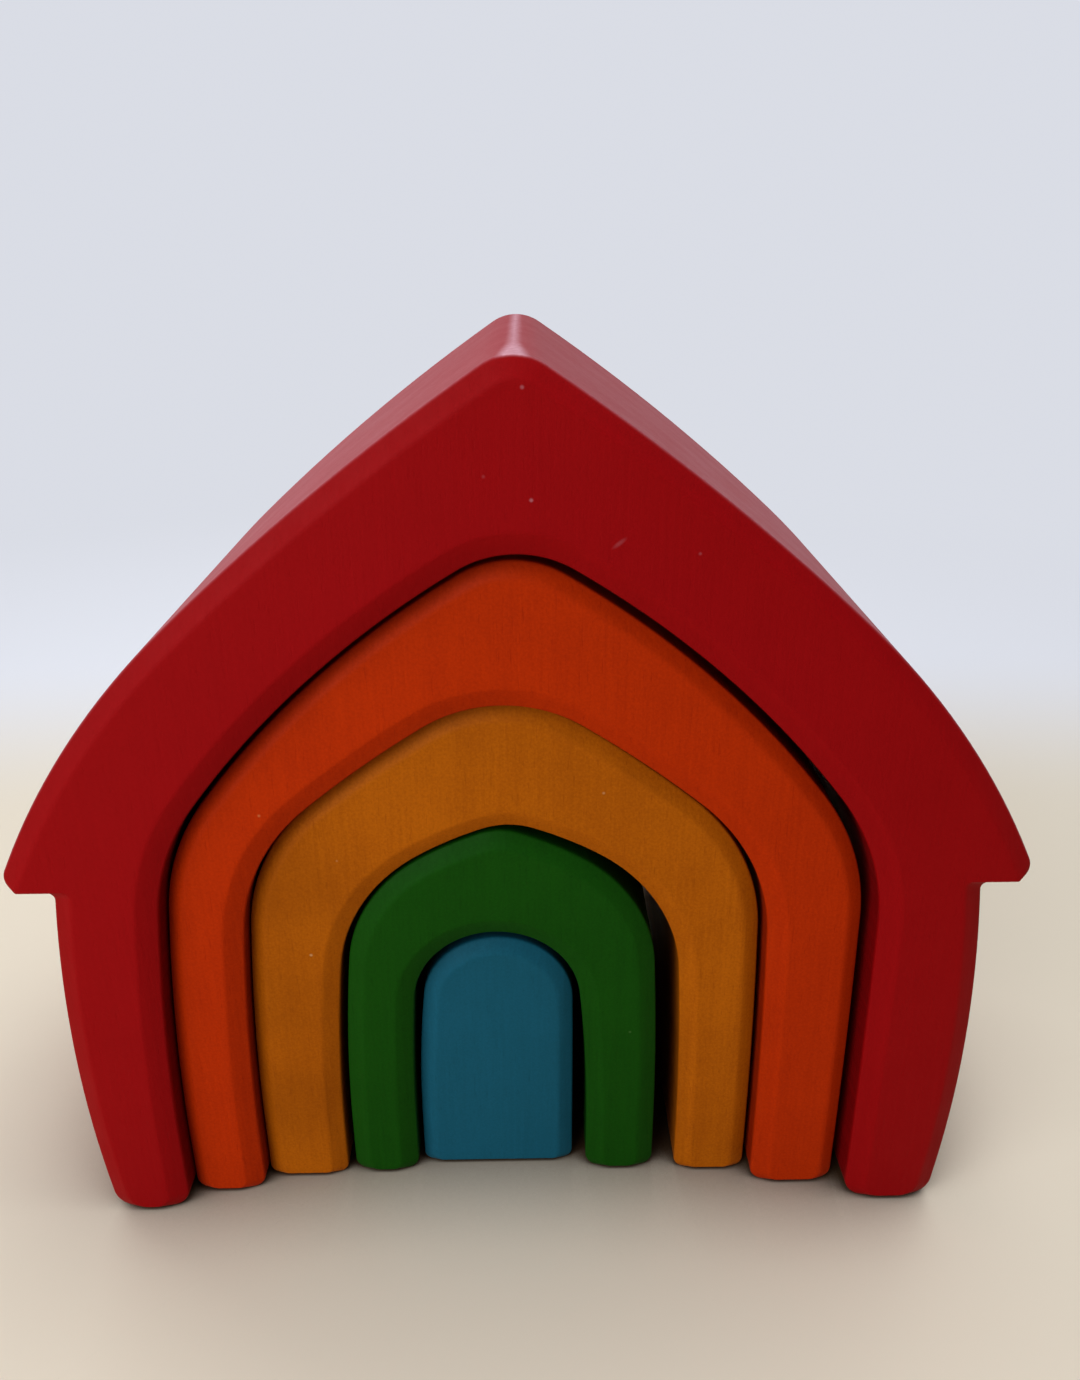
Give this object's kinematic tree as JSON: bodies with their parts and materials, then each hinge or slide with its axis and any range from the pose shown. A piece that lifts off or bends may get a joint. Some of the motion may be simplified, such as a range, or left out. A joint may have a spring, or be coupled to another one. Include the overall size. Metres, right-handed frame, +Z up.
{
  "type": "nesting toy house",
  "caption": "Stained wooden toy house with a curved roof, whose nested arches and round-topped door block slide out of one another from front to back.",
  "frame": {"origin": "on the floor, in the middle of the space that the nested set takes up", "axes": "+X to the right seen from the front, +Y from the front to the back, +Z up"},
  "size_m": [0.165, 0.084, 0.1515],
  "materials": {
    "red_stain": "red water stain, oiled, satin",
    "orange_stain": "orange water stain, oiled, satin",
    "yellow_stain": "golden yellow water stain, oiled, satin",
    "green_stain": "green water stain, oiled, satin",
    "blue_stain": "blue water stain, oiled, satin"
  },
  "bodies": {
    "house": {"red_house": "red_stain"},
    "orange": {"orange_arch": "orange_stain"},
    "yellow": {"yellow_arch": "yellow_stain"},
    "green": {"green_arch": "green_stain"},
    "door": {"blue_door": "blue_stain"}
  },
  "joints": [
    {"name": "orange_slide", "type": "slide", "parent": "house", "child": "orange", "axis": [0, -1, 0], "range_m": [-0.072, 0.08]},
    {"name": "yellow_slide", "type": "slide", "parent": "orange", "child": "yellow", "axis": [0, -1, 0], "range_m": [-0.0727, 0.0793]},
    {"name": "green_slide", "type": "slide", "parent": "yellow", "child": "green", "axis": [0, -1, 0], "range_m": [-0.0754, 0.0766]},
    {"name": "door_slide", "type": "slide", "parent": "green", "child": "door", "axis": [0, -1, 0], "range_m": [-0.0739, 0.0781]}
  ]
}
